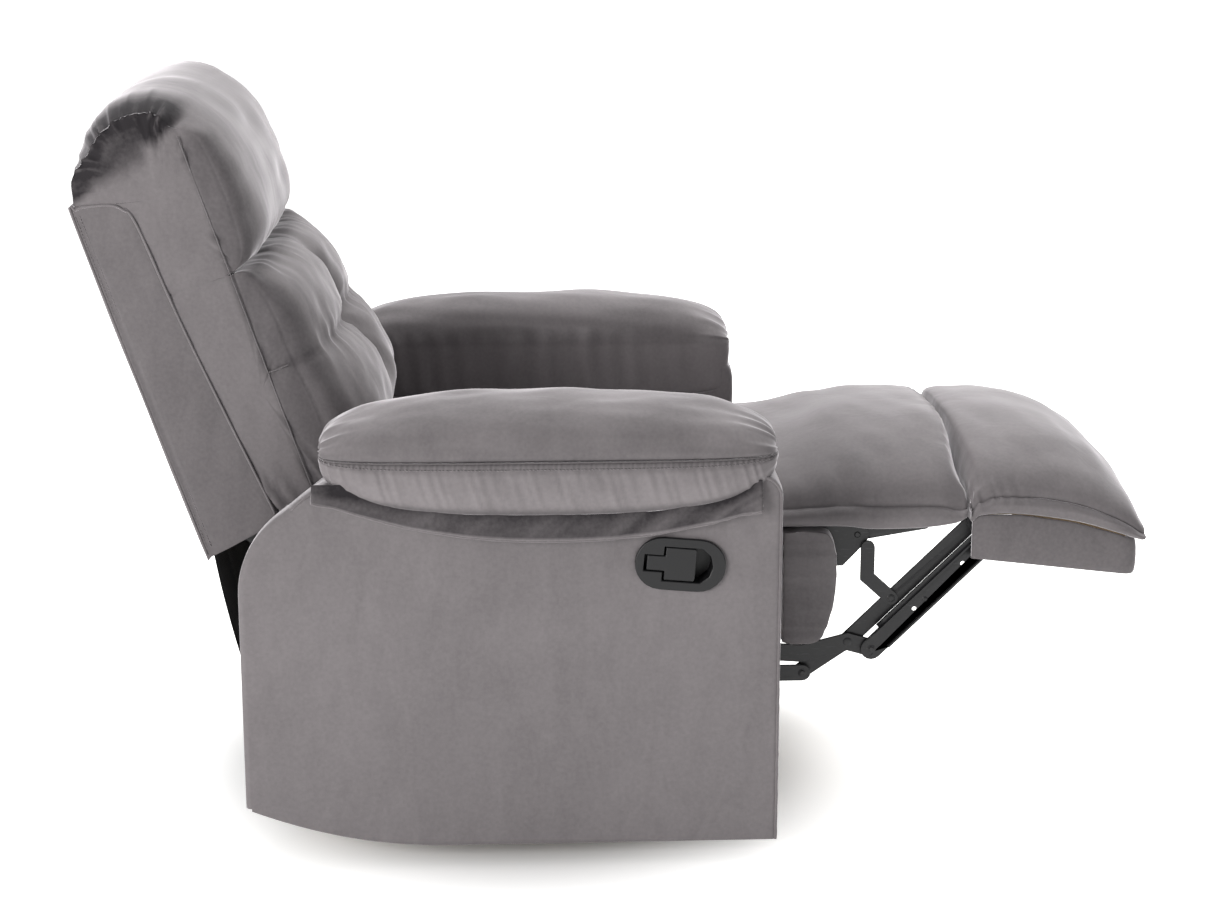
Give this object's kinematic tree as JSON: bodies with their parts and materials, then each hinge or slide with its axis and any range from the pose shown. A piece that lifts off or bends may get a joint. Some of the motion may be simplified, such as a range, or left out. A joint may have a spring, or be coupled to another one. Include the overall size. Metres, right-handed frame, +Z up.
{
  "type": "recliner armchair",
  "caption": "Upholstered armchair with a reclining back and a linkage footrest that folds out from under the seat, released by a side handle.",
  "frame": {"origin": "on the floor, at the middle of the chair's footprint with the footrest raised and the back upright", "axes": "+X the way the sitter faces, +Y the sitter's left, +Z up"},
  "size_m": [1.4945, 0.91, 1.0412],
  "materials": {
    "grey_velvet": "short-pile velvet, nap brushed by hand",
    "black_plastic": "satin moulded plastic",
    "black_steel": "black painted pressed steel",
    "plywood": "plain plywood",
    "black_cloth": "thin woven black lining",
    "spring_steel": "drawn wire"
  },
  "bodies": {
    "root": {"arm_cover_left": "grey_velvet", "arm_cover_right": "grey_velvet", "arm_flap_left": "grey_velvet", "arm_flap_right": "grey_velvet", "arm_frame_left": "plywood", "arm_frame_right": "plywood", "arm_pad_left": "grey_velvet", "arm_pad_right": "grey_velvet", "base_rail_left": "plywood", "base_rail_right": "plywood", "base_tube_front": "black_steel", "base_tube_rear": "black_steel", "dust_cloth": "black_cloth", "foot_front_left": "black_plastic", "foot_front_right": "black_plastic", "foot_rear_left": "black_plastic", "foot_rear_right": "black_plastic", "front_apron": "grey_velvet", "handle_bezel": "black_plastic", "release_cable": "black_cloth", "seat_cushion": "grey_velvet", "seat_plate_left": "black_steel", "seat_plate_right": "black_steel", "seat_rail_front": "plywood", "seat_rail_left": "plywood", "seat_rail_rear": "plywood", "seat_rail_right": "plywood", "seat_springs": "spring_steel"},
    "crank_tube": {"torque_tube": "black_steel"},
    "drive_links": {"drive_link_left": "black_steel", "drive_link_right": "black_steel"},
    "knee_links": {"knee_link_left": "black_steel", "knee_link_right": "black_steel"},
    "shin_channels": {"shin_channel_left": "black_steel", "shin_channel_right": "black_steel"},
    "upper_shins": {"upper_shin_left": "black_steel", "upper_shin_right": "black_steel"},
    "calf_links": {"calf_link_left": "black_steel", "calf_link_right": "black_steel"},
    "foot": {"foot_board": "plywood", "foot_skirt": "grey_velvet", "foot_pad": "grey_velvet", "foot_bracket_left": "black_steel", "foot_bracket_right": "black_steel"},
    "calf": {"calf_board": "plywood", "calf_pad": "grey_velvet", "calf_bracket_left": "black_steel", "calf_bracket_right": "black_steel"},
    "back": {"back_shell": "grey_velvet", "back_pillow": "grey_velvet", "head_pillow": "grey_velvet", "back_rail_bottom": "plywood", "back_rail_top": "plywood", "back_stile_left": "plywood", "back_stile_right": "plywood", "back_bracket_left": "black_steel", "back_bracket_right": "black_steel"},
    "lever": {"release_lever": "black_plastic"}
  },
  "joints": [
    {"name": "footrest_fold", "type": "hinge", "parent": "root", "child": "knee_links", "pos_m": [0.197, 0, 0.297], "axis": [0, 1, 0], "range_deg": [0, 86]},
    {"name": "shin_fold", "type": "hinge", "parent": "knee_links", "child": "shin_channels", "pos_m": [0.361, 0, 0.243], "axis": [0, 1, 0], "range_deg": [-67, 0]},
    {"name": "upper_shin_fold", "type": "hinge", "parent": "knee_links", "child": "upper_shins", "pos_m": [0.327, 0, 0.253], "axis": [0, 1, 0], "range_deg": [-67, 0]},
    {"name": "foot_fold", "type": "hinge", "parent": "shin_channels", "child": "foot", "pos_m": [0.54, 0, 0.421], "axis": [0, 1, 0], "range_deg": [0, 67]},
    {"name": "calf_fold", "type": "hinge", "parent": "root", "child": "calf", "pos_m": [0.338, 0, 0.412], "axis": [0, 1, 0], "range_deg": [0, 85]},
    {"name": "calf_link_fold", "type": "hinge", "parent": "upper_shins", "child": "calf_links", "pos_m": [0.388, 0, 0.318], "axis": [0, 1, 0], "range_deg": [0, 73]},
    {"name": "tube_turn", "type": "hinge", "parent": "root", "child": "crank_tube", "pos_m": [-0.0656, 0, 0.2653], "axis": [0, 1, 0], "range_deg": [0, 84]},
    {"name": "drive_fold", "type": "hinge", "parent": "crank_tube", "child": "drive_links", "pos_m": [0.0705, 0, 0.2086], "axis": [0, 1, 0], "range_deg": [-90, 0]},
    {"name": "back_recline", "type": "hinge", "parent": "root", "child": "back", "pos_m": [-0.49, 0, 0.405], "axis": [0, -1, 0], "range_deg": [0, 30]},
    {"name": "release_lever_pull", "type": "hinge", "parent": "root", "child": "lever", "pos_m": [0.02816, -0.4385, 0.43475], "axis": [-0.0872, 0, -0.9962], "range_deg": [0, 25], "stiffness_Nm_per_rad": 0.3}
  ],
  "couplings": [
    {"joint": "shin_fold", "follows": "footrest_fold", "ratio": -0.76744},
    {"joint": "upper_shin_fold", "follows": "footrest_fold", "ratio": -0.76744},
    {"joint": "foot_fold", "follows": "footrest_fold", "ratio": 0.76744},
    {"joint": "calf_fold", "follows": "footrest_fold", "ratio": 0.97674},
    {"joint": "calf_link_fold", "follows": "footrest_fold", "ratio": 0.83721},
    {"joint": "tube_turn", "follows": "footrest_fold", "ratio": 0.96151},
    {"joint": "drive_fold", "follows": "footrest_fold", "ratio": -1.0359}
  ]
}
